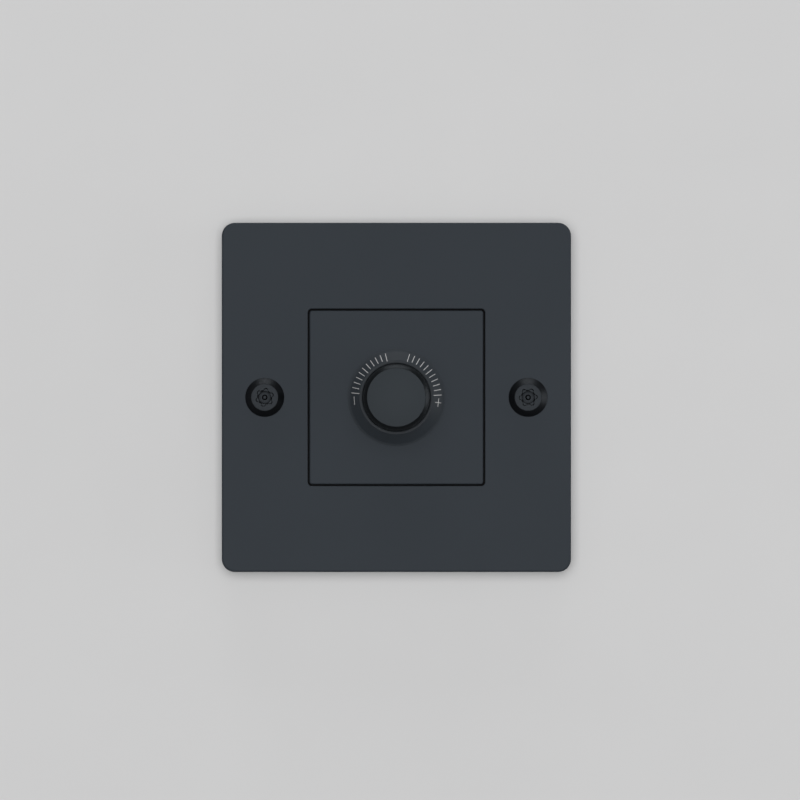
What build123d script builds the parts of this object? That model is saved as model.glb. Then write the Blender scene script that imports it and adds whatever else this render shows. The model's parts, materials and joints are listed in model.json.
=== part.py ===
from build123d import *
import os
from math import sqrt

# Push-and-turn dimmer switch on a single square wall plate, in millimetres.
# Every piece is drawn lying on its back: z = 0 is the wall plane, +z points into the room and
# +y is up on the wall. UPRIGHT then stands it against the wall: +Z up, the knob along -Y, and
# the origin at the plate's centre on the wall plane.
UPRIGHT = Rot(X=90)

# Face plate and its window
PLATE_SIDE = 80.0
PLATE_CORNER = 3.0
PLATE_EDGE = 0.5
PLATE_WALL = 2.5
PLATE_RIM = 4.0
POCKET_CORNER = 1.0
WINDOW_SIDE = 40.6
WINDOW_CORNER = 0.9
WINDOW_EDGE = 0.2

# Centre insert
SHADOW_GAP = 0.4
INSERT_CORNER = 0.6
INSERT_EDGE = 0.35
PEG_R = 1.2
PEG_X = 14.5
PEG_LENGTH = 0.9
PEG_FIT = 0.1

# Fixing screws, 3.5 mm thread, tamper-resistant six-lobe recess
FIXING_CENTRES = 60.3
FIXING_CLEARANCE = 0.25
SCREW_TOP_R = 3.1
SCREW_BEVEL = 1.45
SCREW_HEAD = 1.5
SCREW_EDGE = 0.2
SHANK_R = 2.0
THREAD_R = 1.75
THREAD_LENGTH = 21.0
THREAD_POINT = 0.8
RECESS_R = 1.4
RECESS_DEPTH = 1.1
LOBE_R = 0.45
LOBE_REACH = 0.55
PIN_R = 0.65
PIN_SINK = 0.2
SCREW_TURNS = (20.0, 3.0)

# Support yoke
YOKE_SETBACK = 0.3
YOKE_THICKNESS = 1.2
YOKE_GAP = 0.5
YOKE_TRIM = 3.5
YOKE_CORNER = 3.0
SLOT_ADJUST = 3.5

# Dial collar
COLLAR_HEIGHT = 2.2
COLLAR_CONE = 2.2
COLLAR_LIP = 0.5
COLLAR_EDGE = 0.2
COLLAR_FLOOR = 1.0
COLLAR_FLOOR_GAP = 0.3
SPIGOT_WALL = 0.8
SEAT_FIT = 0.05

# Knob
KNOB_R = 7.7
KNOB_GAP = 0.25
KNOB_PROJECTION = 11.0
KNOB_BEVEL = 1.1
KNOB_ENTRY = 0.8
KNOB_SKIRT = 1.6
KNOB_FACE_WALL = 1.8
KNOB_BORE_FIT = 0.03
CAVITY_GAP = 0.35
KNURL_COUNT = 80
KNURL_DEPTH = 0.22
CLIP_THICKNESS = 0.4
CLIP_WIDTH = 3.2
CLIP_FIT = 0.04

# Travel of the knob
PUSH_TRAVEL = 1.0
PUSH_ROOM = 0.5
TURN_RANGE = 270.0
STOP_PLAY = 0.5

# Shaft, bush and its nut
SHAFT_R = 3.0
SHAFT_FIT = 0.05
FLAT_DEPTH = 1.5
SHAFT_TIP_GAP = 0.2
SHOULDER_LIP = 1.2
SHOULDER = 1.0
TAIL_SIDE = 4.0
TAIL_CORNER = 0.8
TAIL_FIT = 0.1
TAIL_PROUD = 0.7
BUSH_WALL = 0.45
BUSH_PROUD = 0.7
BUSH_HOLE_GAP = 0.1
BUSH_FLANGE = 1.0
LUG_PEG_R = 0.9
LUG_PEG_REACH = 6.4
NUT_FLATS = 10.0
NUT_THICKNESS = 2.0
NUT_CHAMFER = 0.35
WASHER_WIDTH = 2.0
WASHER_THICKNESS = 0.5
WASHER_TEETH = 10
WASHER_NICK = 0.7

# Potentiometer
RUN_GAP = 0.1
ROTOR_R = 6.5
ROTOR_THICKNESS = 1.8
ROTOR_LUG_ANGLE = 20.0
BOSS_WALL = 0.7
BOSS_FIT = 0.05
RING_GAP = 0.8
RING_INSET = 0.3
STOP_GAP = 0.4
STOP_WIDTH = 1.0
CAN_GAP = 0.1
CAN_WALL = 0.5
CAN_TABS = 4
CAN_TAB_WIDTH = 3.0
CAN_TAB_FIT = 0.1
WIPER_THICKNESS = 0.3
WIPER_ROOM = 1.5
WIPER_GAP = 0.05
FINGER_RUN = 2.2
FINGER_PAD = 0.7
FINGER_WIDTH = 1.0
WAFER_THICKNESS = 0.8
WAFER_HOLE_GAP = 0.4
WAFER_TAIL_WIDTH = 13.0
WAFER_TAIL_REACH = 2.4
WAFER_TAIL_FIT = 0.2
TAG_PITCH = 5.0
TAG_WIDTH = 1.2
TAG_THICKNESS = 0.5
TAG_HEAD = 0.4
TAG_SETBACK = 1.2

# Push switch behind the potentiometer
SWITCH_WALL = 1.0
SWITCH_GAP = 0.2
STEM_R = 2.8
STEM_FIT = 0.1
PLUNGER_R = 4.5
PLUNGER_FLANGE = 1.0
PLUNGER_GAP = 0.05
GUIDE_R = 1.5
GUIDE_FIT = 0.1
GUIDE_ROOM = 0.6
BRIDGE_THICKNESS = 0.4
BRIDGE_WIDTH = 2.4
BRIDGE_END = 0.6
CONTACT_GAP = 0.05
PAD_LENGTH = 2.0
PAD_WIDTH = 2.4
PAD_THICKNESS = 0.5
LEG_THICKNESS = 0.6
LEG_WIDTH = 1.6
SPRING_LENGTH = 3.5
SPRING_R = 2.55
SPRING_TURNS = 3.5
SPRING_END = 0.03
WIRE_THICKNESS = 0.5
WIRE_SIDES = 6
PAD_CLEARANCE = 0.6

# Circuit board and what it carries
BOARD_THICKNESS = 1.6
BOARD_GAP = 0.4
HOLE_FIT = 0.1
PIN_STUB = 0.9
FILM_WIDTH = 13.0
FILM_DEPTH = 6.0
FILM_HEIGHT = 11.0
FILM_EDGE = 0.4
PART_GAP = 1.2
CAN_CAP_R = 4.0
CAN_CAP_HEIGHT = 7.5
CAN_CAP_GROOVE = 0.4
CAN_CAP_GAP = 0.5
FUSE_R = 1.8
FUSE_LENGTH = 10.0
FUSE_CAP = 2.0
FUSE_CAP_WALL = 0.2
FUSE_LEAD_R = 0.4
FUSE_GAP = 1.4
CORE_R = 6.0
CORE_HOLE_R = 3.0
CORE_THICKNESS = 5.0
CORE_CHAMFER = 0.6
WINDING = 0.6
WINDING_FIT = 0.05
WINDING_ANGLE = 290.0
SINK_THICKNESS = 1.5
SINK_GAP = 1.5
SINK_HEADROOM = 1.6
SINK_TAB = 3.0
TRANSISTOR_WIDTH = 7.8
TRANSISTOR_HEIGHT = 10.8
TRANSISTOR_THICKNESS = 2.7
TRANSISTOR_INSET = 1.5
TRANSISTOR_HOLE_DROP = 3.8
LEAD_RISE = 2.0
LEAD_PITCH = 2.3
LEAD_WIDTH = 0.8
LEAD_THICKNESS = 0.5
M3_R = 1.5
M3_FIT = 0.1
M3_HEAD_R = 2.6
M3_HEAD = 1.8
CHIP_LENGTH = 5.0
CHIP_WIDTH = 4.0
CHIP_HEIGHT = 1.5
CHIP_STANDOFF = 0.1
CHIP_PITCH = 1.27
CHIP_LEAD = 0.45
CHIP_LEAD_REACH = 1.0
CHIP_Y = 6.0

# Rear housing, its screws and the terminals
HOUSING_SIDE = 44.0
HOUSING_WALL = 1.6
HOUSING_CORNER = 3.0
HOUSING_FLOOR = 1.8
HOUSING_EDGE = 0.8
PILLAR_SIDE = 6.4
POST_R = 1.8
POST_X = 9.0
POST_INSET = 3.0
VENT_COUNT = 7
VENT_PITCH = 3.6
VENT_WIDTH = 1.4
VENT_LENGTH = 13.0
VENT_Y = 7.5
TAPPER_R = 1.1
TAPPER_HEAD_R = 1.9
TAPPER_HEAD = 1.0
TAPPER_LENGTH = 9.0
TAPPER_POINT = 1.0
TAPPER_FIT = 0.05
TAPPER_CLEARANCE = 0.2
CROSS_WIDTH = 0.6
CROSS_DEPTH = 0.7
TERMINAL_WIDTH = 7.5
TERMINAL_TAG_GAP = 1.35
TERMINAL_END_WALL = 1.5
TERMINAL_EDGE = 0.3
TERMINAL_SEAT = 0.1
TERMINAL_GAP = 0.4
TERMINAL_PIN_R = 0.5
TERMINAL_PIN_X = 2.4
WIRE_R = 2.0
WIRE_ENTRY_GAP = 0.4
WIRE_WALL = 1.2
CLAMP_WALL = 2.8
CLAMP_SCREW_R = 1.75
CLAMP_SCREW_FIT = 0.05
CLAMP_SCREW_SINK = 0.2
CLAMP_ACCESS_GAP = 0.45
CLAMP_SETBACK = 4.0
SLOT_WIDTH = 0.6
SLOT_DEPTH = 0.9
EARTH_SIDE = 7.0
EARTH_THICKNESS = 1.0
EARTH_GAP = 0.8
EARTH_R = 1.75
EARTH_FIT = 0.1
EARTH_HEAD_R = 3.0
EARTH_HEAD = 2.0

# Heights through the front stack
YOKE_BACK = YOKE_SETBACK
YOKE_FRONT = YOKE_BACK + YOKE_THICKNESS
FACE = YOKE_FRONT + PLATE_WALL
COLLAR_FLOOR_BACK = YOKE_FRONT + COLLAR_FLOOR_GAP
COLLAR_FLOOR_FRONT = COLLAR_FLOOR_BACK + COLLAR_FLOOR
COLLAR_TOP = FACE + COLLAR_HEIGHT
WASHER_FRONT = COLLAR_FLOOR_FRONT + WASHER_THICKNESS
NUT_FRONT = WASHER_FRONT + NUT_THICKNESS
BUSH_TOP = NUT_FRONT + BUSH_PROUD
KNOB_BACK = COLLAR_TOP - KNOB_ENTRY
KNOB_CAVITY = BUSH_TOP + PUSH_TRAVEL + PUSH_ROOM
KNOB_FRONT = FACE + KNOB_PROJECTION
KNOB_BORE_END = KNOB_FRONT - KNOB_FACE_WALL

# Heights through the potentiometer
FLANGE_BACK = YOKE_BACK - BUSH_FLANGE
SHOULDER_FRONT = FLANGE_BACK - SHAFT_FIT
SHOULDER_BACK = SHOULDER_FRONT - SHOULDER
ROTOR_FRONT = SHOULDER_BACK - PUSH_TRAVEL - PUSH_ROOM
ROTOR_BACK = ROTOR_FRONT - ROTOR_THICKNESS
WIPER_BACK = ROTOR_BACK - WIPER_THICKNESS
WAFER_FRONT = ROTOR_BACK - WIPER_ROOM
WAFER_BACK = WAFER_FRONT - WAFER_THICKNESS
CAN_BACK = WAFER_BACK - CAN_WALL
SHAFT_END = CAN_BACK - TAIL_PROUD

# Heights through the push switch, the board and the housing
COVER_INSIDE = CAN_BACK - SWITCH_WALL
STEM_FRONT = SHAFT_END - PLUNGER_GAP
PLUNGER_FRONT = COVER_INSIDE - PLUNGER_GAP
PLUNGER_BACK = PLUNGER_FRONT - PLUNGER_FLANGE
BRIDGE_BACK = PLUNGER_BACK - BRIDGE_THICKNESS
PAD_FRONT = BRIDGE_BACK - PUSH_TRAVEL - CONTACT_GAP
BASE_FRONT = BRIDGE_BACK - SPRING_LENGTH
BASE_BACK = BASE_FRONT - PUSH_TRAVEL - GUIDE_ROOM
BOARD_FRONT = BASE_BACK
BOARD_BACK = BOARD_FRONT - BOARD_THICKNESS
STUB_BACK = BOARD_BACK - PIN_STUB
TERMINAL_BACK = BOARD_BACK - WIRE_WALL - 2 * WIRE_R - CLAMP_WALL
WIRE_Z = BOARD_BACK - WIRE_WALL - WIRE_R
HOUSING_BACK = TERMINAL_BACK - HOUSING_FLOOR

# Widths and radii that follow from the sizes above
POCKET_SIDE = PLATE_SIDE - 2 * PLATE_RIM
INSERT_SIDE = WINDOW_SIDE - 2 * SHADOW_GAP
FIXING_X = FIXING_CENTRES / 2
FIXING_HOLE_R = SHANK_R + FIXING_CLEARANCE
SCREW_BASE_R = SCREW_TOP_R + SCREW_BEVEL
YOKE_WIDTH = POCKET_SIDE - 2 * YOKE_GAP
YOKE_HEIGHT = YOKE_WIDTH - 2 * YOKE_TRIM
COLLAR_BORE_R = KNOB_R + KNOB_GAP
LIP_R = COLLAR_BORE_R + COLLAR_LIP
COLLAR_R = LIP_R + COLLAR_CONE
SPIGOT_R = COLLAR_BORE_R + SPIGOT_WALL
FLAT_Y = SHAFT_R - FLAT_DEPTH
BUSH_BORE_R = SHAFT_R + SHAFT_FIT
BUSH_R = BUSH_BORE_R + BUSH_WALL
BUSH_HOLE_R = BUSH_R + BUSH_HOLE_GAP
NUT_R = NUT_FLATS / sqrt(3)
KNOB_CAVITY_R = NUT_R + CAVITY_GAP
WASHER_R = BUSH_HOLE_R + WASHER_WIDTH
SHOULDER_R = SHAFT_R + SHOULDER_LIP
RING_INNER_R = SHOULDER_R + RING_GAP
RING_OUTER_R = ROTOR_R - RING_INSET
STOP_R = ROTOR_R + STOP_GAP
STOP_OUTER_R = STOP_R + STOP_WIDTH
CAN_INNER_R = STOP_OUTER_R + CAN_GAP
CAN_R = CAN_INNER_R + CAN_WALL
STOP_ANGLE = 360 - TURN_RANGE - ROTOR_LUG_ANGLE - 2 * STOP_PLAY
BOSS_R = TAIL_SIDE / sqrt(2) + BOSS_WALL
TAG_Y = -CAN_R - TAG_SETBACK
PAD_INNER_X = SPRING_R + WIRE_THICKNESS / 2 + PAD_CLEARANCE
PAD_OUTER_X = PAD_INNER_X + PAD_LENGTH
LEG_X = PAD_OUTER_X - LEG_THICKNESS / 2
SWITCH_WIDTH = 2 * (PAD_OUTER_X + 2 * SWITCH_GAP + SWITCH_WALL)
SWITCH_HEIGHT = 2 * (PLUNGER_R + SWITCH_GAP + SWITCH_WALL)
CAVITY_HALF = HOUSING_SIDE / 2 - HOUSING_WALL
PILLAR_XY = CAVITY_HALF - PILLAR_SIDE / 2
BOARD_SIDE = 2 * (CAVITY_HALF - BOARD_GAP)
BOARD_NOTCH = PILLAR_SIDE + BOARD_GAP
SINK_X = CAVITY_HALF - SINK_GAP - SINK_THICKNESS
SINK_HALF = CAVITY_HALF - PILLAR_SIDE - BOARD_GAP
TRANSISTOR_Y = SINK_HALF - TRANSISTOR_INSET - TRANSISTOR_WIDTH / 2
TRANSISTOR_BACK = BOARD_FRONT + LEAD_RISE
SINK_HOLE_Z = TRANSISTOR_BACK + TRANSISTOR_HEIGHT - TRANSISTOR_HOLE_DROP
LOW_PARTS_Y = -(CAVITY_HALF - CAN_CAP_GAP - CAN_CAP_R)
CAN_CAP_X = CAVITY_HALF - PILLAR_SIDE - CAN_CAP_GAP - CAN_CAP_R
FUSE_X = CAVITY_HALF - PILLAR_SIDE - FUSE_GAP - FUSE_LENGTH / 2
FILM_Y = CAVITY_HALF - PART_GAP - FILM_DEPTH / 2
CHOKE_X = -(CAVITY_HALF - PART_GAP - CORE_THICKNESS / 2 - WINDING)
TERMINAL_X = CAVITY_HALF - PILLAR_SIDE - TERMINAL_GAP - TERMINAL_WIDTH / 2
TERMINAL_MOUTH_Y = -(CAVITY_HALF - TERMINAL_SEAT)
TERMINAL_LENGTH = TAG_Y - TAG_THICKNESS / 2 - TERMINAL_TAG_GAP - TERMINAL_MOUTH_Y
TERMINAL_Y = TERMINAL_MOUTH_Y + TERMINAL_LENGTH / 2
WIRE_DEPTH = TERMINAL_LENGTH - TERMINAL_END_WALL
CLAMP_Y = TERMINAL_MOUTH_Y + CLAMP_SETBACK
CLAMP_ACCESS_R = CLAMP_SCREW_R + CLAMP_ACCESS_GAP
EARTH_Y = HOUSING_SIDE / 2 + EARTH_GAP + EARTH_SIDE / 2


def corners(reach):
    """The four corner places of a centred square."""
    return [(x, y) for x in (-reach, reach) for y in (-reach, reach)]


def terminal_places():
    """The x places of the three mains terminals."""
    return [-TERMINAL_X, 0, TERMINAL_X]


def prism(sketch, back, front):
    """A flat outline carried straight from one height to another."""
    return extrude(Pos(0, 0, back) * sketch, front - back)


def turned(points, angle=360):
    """A piece turned about the spindle from its (radius, height) corners."""
    return revolve(make_face(Plane.XZ * Polyline(*points, close=True)), Axis.Z, angle)


def block(width, depth, x, y, back, front):
    """A square-edged bar centred on x, y between two heights."""
    return prism(Pos(x, y) * Rectangle(width, depth), back, front)


def front_face(piece):
    """The face of a piece that looks into the room."""
    return piece.faces().sort_by(Axis.Z)[-1]


def sector(inner, outer, angle, middle, back, front):
    """Part of a ring, spread by an angle about a middle direction."""
    wedge = turned([(inner, back), (outer, back), (outer, front), (inner, front)], angle)
    return Rot(Z=middle - angle / 2) * wedge


def slot_cut(width, depth, length, back):
    """A screwdriver slot cut upwards from a height."""
    return block(length, width, 0, 0, back, back + depth)


def group(pieces):
    """Like pieces kept together as separate solids."""
    return Compound([solid for piece in pieces for solid in piece.solids()])


def face_plate():
    """Front plate: soft front edge, hollow back that leaves a rim on the wall, square window."""
    plate = prism(RectangleRounded(PLATE_SIDE, PLATE_SIDE, PLATE_CORNER), 0, FACE)
    plate = fillet(front_face(plate).edges(), PLATE_EDGE)
    plate -= prism(RectangleRounded(POCKET_SIDE, POCKET_SIDE, POCKET_CORNER), 0, YOKE_FRONT)
    plate -= prism(RectangleRounded(WINDOW_SIDE, WINDOW_SIDE, WINDOW_CORNER), 0, FACE)
    plate = fillet(front_face(plate).inner_wires()[0].edges(), WINDOW_EDGE)
    for x in (-FIXING_X, FIXING_X):
        plate -= prism(Pos(x, 0) * Circle(FIXING_HOLE_R), 0, FACE)
    return plate


def centre_insert():
    """Square tile with a round hole for the collar and two pegs that locate it on the yoke."""
    tile = prism(RectangleRounded(INSERT_SIDE, INSERT_SIDE, INSERT_CORNER), YOKE_FRONT, FACE)
    tile = fillet(front_face(tile).edges(), INSERT_EDGE)
    tile -= prism(Circle(SPIGOT_R + SEAT_FIT), YOKE_FRONT, FACE)
    for x in (-PEG_X, PEG_X):
        tile += prism(Pos(x, 0) * Circle(PEG_R), YOKE_FRONT - PEG_LENGTH, YOKE_FRONT)
    return tile


def scale_collar():
    """Dial ring: flat lip, cone that carries the scale, spigot in the insert, clamped floor."""
    return turned([
        (BUSH_HOLE_R, COLLAR_FLOOR_BACK),
        (SPIGOT_R, COLLAR_FLOOR_BACK),
        (SPIGOT_R, FACE),
        (COLLAR_R, FACE),
        (COLLAR_R, FACE + COLLAR_EDGE),
        (LIP_R, COLLAR_TOP),
        (COLLAR_BORE_R, COLLAR_TOP),
        (COLLAR_BORE_R, COLLAR_FLOOR_FRONT),
        (BUSH_HOLE_R, COLLAR_FLOOR_FRONT),
    ])


def six_lobe():
    """Outline of the tamper-resistant recess: six lobes round a circle, less the centre pin."""
    lobes = PolarLocations(RECESS_R + LOBE_REACH - LOBE_R, 6) * Circle(LOBE_R)
    return Circle(RECESS_R) + lobes


def fixing_screws():
    """Two proud cone-headed screws: plain shank through plate and yoke, thread behind the wall."""
    top = FACE + SCREW_HEAD
    screw = turned([
        (0, -THREAD_LENGTH),
        (THREAD_R - THREAD_POINT, -THREAD_LENGTH),
        (THREAD_R, -THREAD_LENGTH + THREAD_POINT),
        (THREAD_R, 0),
        (SHANK_R, 0),
        (SHANK_R, FACE),
        (SCREW_BASE_R, FACE),
        (SCREW_BASE_R, FACE + SCREW_EDGE),
        (SCREW_TOP_R, top),
        (0, top),
    ])
    screw -= prism(six_lobe(), top - RECESS_DEPTH, top)
    screw += prism(Circle(PIN_R), top - RECESS_DEPTH, top - PIN_SINK)
    places = zip((-FIXING_X, FIXING_X), SCREW_TURNS)
    return group([Pos(x, 0) * Rot(Z=turn) * screw for x, turn in places])


def support_yoke():
    """Pressed sheet that carries the works, with level slots and countersunk housing holes."""
    outline = RectangleRounded(YOKE_WIDTH, YOKE_HEIGHT, YOKE_CORNER)
    for x in (-FIXING_X, FIXING_X):
        slot = SlotOverall(2 * FIXING_HOLE_R + SLOT_ADJUST, 2 * FIXING_HOLE_R, rotation=90)
        outline -= Pos(x, 0) * slot
    outline -= Circle(BUSH_HOLE_R)
    outline -= Pos(0, -LUG_PEG_REACH) * Circle(LUG_PEG_R + PEG_FIT)
    outline -= [Pos(x, 0) * Circle(PEG_R + PEG_FIT) for x in (-PEG_X, PEG_X)]
    outline -= Pos(0, EARTH_Y) * Circle(EARTH_R + EARTH_FIT)
    sheet = prism(outline, YOKE_BACK, YOKE_FRONT)
    hole_r = TAPPER_R + TAPPER_CLEARANCE
    countersink = turned([
        (0, YOKE_BACK),
        (hole_r, YOKE_BACK),
        (hole_r, YOKE_FRONT - TAPPER_HEAD),
        (TAPPER_HEAD_R + TAPPER_CLEARANCE, YOKE_FRONT),
        (0, YOKE_FRONT),
    ])
    for x, y in corners(PILLAR_XY):
        sheet -= Pos(x, y) * countersink
    return sheet


def control_knob():
    """Turned knob: plain skirt, straight knurl, bevelled face, nut cavity and flatted bore."""
    crest = [Vector(KNOB_R, 0).rotate(Axis.Z, 360 * i / KNURL_COUNT) for i in range(KNURL_COUNT)]
    root_r = KNOB_R - KNURL_DEPTH
    half_tooth = 180 / KNURL_COUNT
    root = [Vector(root_r, 0).rotate(Axis.Z, 360 * i / KNURL_COUNT + half_tooth)
            for i in range(KNURL_COUNT)]
    outline = make_face(Polyline(*[p for pair in zip(crest, root) for p in pair], close=True))
    skirt_top = KNOB_BACK + KNOB_SKIRT
    knob = prism(outline, skirt_top, KNOB_FRONT)
    knob &= turned([
        (0, skirt_top),
        (root_r, skirt_top),
        (KNOB_R, skirt_top + KNURL_DEPTH),
        (KNOB_R, KNOB_FRONT - KNOB_BEVEL),
        (KNOB_R - KNOB_BEVEL, KNOB_FRONT),
        (0, KNOB_FRONT),
    ])
    knob += prism(Circle(KNOB_R), KNOB_BACK, skirt_top)
    knob -= prism(Circle(KNOB_CAVITY_R), KNOB_BACK, KNOB_CAVITY)
    flat = FLAT_Y + CLIP_THICKNESS + 2 * CLIP_FIT
    knob -= prism(flatted(SHAFT_R + KNOB_BORE_FIT, flat), KNOB_CAVITY, KNOB_BORE_END)
    return knob


def flatted(radius, flat):
    """A round outline with one flat on its upper side."""
    return Circle(radius) - Pos(0, flat + radius) * Rectangle(2 * radius, 2 * radius)


def knob_clip():
    """Leaf spring between the knob's bore and the flat of the shaft."""
    middle = FLAT_Y + CLIP_FIT + CLIP_THICKNESS / 2
    end = KNOB_BORE_END - SHAFT_TIP_GAP
    return block(CLIP_WIDTH, CLIP_THICKNESS, 0, middle, KNOB_CAVITY, end)


def control_shaft():
    """Spindle: flatted end in the knob, running fit in the bush, shoulder, square tail."""
    tip = KNOB_BORE_END - SHAFT_TIP_GAP
    shaft = prism(flatted(SHAFT_R, FLAT_Y), KNOB_CAVITY, tip)
    shaft += prism(Circle(SHAFT_R), SHOULDER_FRONT, KNOB_CAVITY)
    shaft += prism(Circle(SHOULDER_R), SHOULDER_BACK, SHOULDER_FRONT)
    shaft += prism(RectangleRounded(TAIL_SIDE, TAIL_SIDE, TAIL_CORNER), SHAFT_END, SHOULDER_BACK)
    return shaft


def lock_washer():
    """Shake-proof washer with nicked outer teeth."""
    outline = Circle(WASHER_R) - Circle(BUSH_HOLE_R)
    outline -= PolarLocations(WASHER_R, WASHER_TEETH) * Rectangle(2 * WASHER_NICK, WASHER_NICK)
    return prism(outline, COLLAR_FLOOR_FRONT, WASHER_FRONT)


def bush_nut():
    """Hexagon nut with its front corners chamfered."""
    outline = RegularPolygon(NUT_R, 6) - Circle(BUSH_R + SEAT_FIT)
    nut = prism(outline, WASHER_FRONT, NUT_FRONT)
    return nut & turned([
        (0, WASHER_FRONT),
        (NUT_R, WASHER_FRONT),
        (NUT_R, NUT_FRONT - NUT_CHAMFER),
        (NUT_R - 2 * NUT_CHAMFER, NUT_FRONT),
        (0, NUT_FRONT),
    ])


def can_tab(width, inner, outer, back, front):
    """The tabs that fold over the potentiometer's front, as straight strips round the can."""
    middle = (inner + outer) / 2
    strip = Pos(middle, 0) * Rectangle(outer - inner, width)
    tabs = PolarLocations(0, CAN_TABS, start_angle=180 / CAN_TABS) * strip
    return prism(Sketch() + tabs, back, front)


def pot_bush():
    """Die-cast potentiometer front: threaded bush, flange, rotor bearing ring and end stop."""
    casting = turned([
        (BUSH_BORE_R, FLANGE_BACK),
        (CAN_R, FLANGE_BACK),
        (CAN_R, YOKE_BACK),
        (BUSH_R, YOKE_BACK),
        (BUSH_R, BUSH_TOP),
        (BUSH_BORE_R, BUSH_TOP),
    ])
    notch_width = CAN_TAB_WIDTH + 2 * CAN_TAB_FIT
    notch_inner = CAN_INNER_R - CAN_TAB_FIT
    casting -= can_tab(notch_width, notch_inner, CAN_R + CAN_WALL, FLANGE_BACK, YOKE_BACK)
    ring_back = ROTOR_FRONT + RUN_GAP
    casting += prism(Circle(RING_OUTER_R) - Circle(RING_INNER_R), ring_back, FLANGE_BACK)
    casting += sector(STOP_R, STOP_OUTER_R, STOP_ANGLE, 270, ROTOR_BACK, FLANGE_BACK)
    peg_top = YOKE_FRONT - PEG_FIT
    casting += prism(Pos(0, -LUG_PEG_REACH) * Circle(LUG_PEG_R), YOKE_BACK, peg_top)
    return casting


def pot_can():
    """Pressed can: open front with folded tabs, a window for the wafer's tail, a bearing hole."""
    can = turned([
        (BOSS_R + BOSS_FIT, CAN_BACK),
        (CAN_R, CAN_BACK),
        (CAN_R, FLANGE_BACK),
        (CAN_INNER_R, FLANGE_BACK),
        (CAN_INNER_R, WAFER_BACK),
        (BOSS_R + BOSS_FIT, WAFER_BACK),
    ])
    window = WAFER_TAIL_WIDTH + 2 * WAFER_TAIL_FIT
    can -= block(window, CAN_R, 0, -CAN_R, WAFER_BACK, WAFER_FRONT + WAFER_TAIL_FIT)
    return can + can_tab(CAN_TAB_WIDTH, CAN_INNER_R, CAN_R, FLANGE_BACK, YOKE_BACK)


def rotor():
    """Moulded rotor: disc, stop lug, and a boss with the square hole that the shaft slides in."""
    disc = prism(Circle(ROTOR_R), ROTOR_BACK, ROTOR_FRONT)
    lug_r = STOP_OUTER_R - STOP_GAP
    disc += sector(RING_INNER_R, lug_r, ROTOR_LUG_ANGLE, 90, ROTOR_BACK, ROTOR_FRONT)
    disc += prism(Circle(BOSS_R), CAN_BACK, ROTOR_BACK)
    hole = TAIL_SIDE + 2 * TAIL_FIT
    return disc - prism(RectangleRounded(hole, hole, TAIL_CORNER), CAN_BACK, ROTOR_FRONT)


def wiper():
    """Spring wiper: a flat ring on the rotor with two bent fingers that ride on the track."""
    inner = BOSS_R + BOSS_FIT
    ring = prism(Circle(RING_OUTER_R) - Circle(inner), WIPER_BACK, ROTOR_BACK)
    tip = WAFER_FRONT + WIPER_GAP
    end = FINGER_RUN + FINGER_PAD
    bend = make_face(Polyline(
        (0, ROTOR_BACK),
        (0, WIPER_BACK),
        (FINGER_RUN, tip),
        (end, tip),
        (end, tip + WIPER_THICKNESS),
        (FINGER_RUN, tip + WIPER_THICKNESS),
        (FINGER_PAD, ROTOR_BACK),
        close=True,
    ))
    finger = extrude(Plane.XZ * bend, FINGER_WIDTH / 2, both=True)
    track_r = (inner + RING_OUTER_R) / 2
    return ring + [Rot(Z=turn) * Pos(0, track_r) * finger for turn in (0, 180)]


def tag_places():
    """The x places of the three potentiometer terminals."""
    return [-TAG_PITCH, 0, TAG_PITCH]


def track_wafer():
    """Laminate wafer that carries the resistive track, with a tail for its terminals."""
    outline = Circle(CAN_INNER_R - SEAT_FIT)
    tail_end = CAN_R + WAFER_TAIL_REACH
    outline += Pos(0, -tail_end / 2) * Rectangle(WAFER_TAIL_WIDTH, tail_end)
    outline -= Circle(BOSS_R + WAFER_HOLE_GAP)
    slot = Rectangle(TAG_WIDTH + HOLE_FIT, TAG_THICKNESS + HOLE_FIT)
    outline -= [Pos(x, TAG_Y) * slot for x in tag_places()]
    return prism(outline, WAFER_BACK, WAFER_FRONT)


def wafer_terminals():
    """Three headed strips from the wafer's tail down through the board."""
    tags = []
    for x in tag_places():
        tag = block(TAG_WIDTH, TAG_THICKNESS, x, TAG_Y, STUB_BACK, WAFER_FRONT)
        head = TAG_WIDTH + TAG_HEAD
        tag += block(head, TAG_THICKNESS + TAG_HEAD, x, TAG_Y, WAFER_FRONT, WAFER_FRONT + TAG_HEAD)
        tags.append(tag)
    return group(tags)


def switch_cover():
    """Moulded cover of the push switch, open behind, with a hole that guides the stem."""
    cover = block(SWITCH_WIDTH, SWITCH_HEIGHT, 0, 0, BASE_FRONT, CAN_BACK)
    room_width = SWITCH_WIDTH - 2 * SWITCH_WALL
    room_height = SWITCH_HEIGHT - 2 * SWITCH_WALL
    cover -= block(room_width, room_height, 0, 0, BASE_FRONT, COVER_INSIDE)
    return cover - prism(Circle(STEM_R + STEM_FIT), COVER_INSIDE, CAN_BACK)


def switch_base():
    """Base of the push switch: guide hole in the middle, slots for the contact legs."""
    outline = Rectangle(SWITCH_WIDTH, SWITCH_HEIGHT) - Circle(GUIDE_R + GUIDE_FIT)
    slot = Rectangle(LEG_THICKNESS + HOLE_FIT, LEG_WIDTH + HOLE_FIT)
    outline -= [Pos(x, 0) * slot for x in (-LEG_X, LEG_X)]
    return prism(outline, BASE_BACK, BASE_FRONT)


def switch_plunger():
    """Plunger: stem under the shaft, flange that carries the bridge, guide pin in the base."""
    guide_end = BASE_FRONT - GUIDE_ROOM / 2
    return turned([
        (0, guide_end),
        (GUIDE_R, guide_end),
        (GUIDE_R, PLUNGER_BACK),
        (PLUNGER_R, PLUNGER_BACK),
        (PLUNGER_R, PLUNGER_FRONT),
        (STEM_R, PLUNGER_FRONT),
        (STEM_R, STEM_FRONT),
        (0, STEM_FRONT),
    ])


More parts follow.
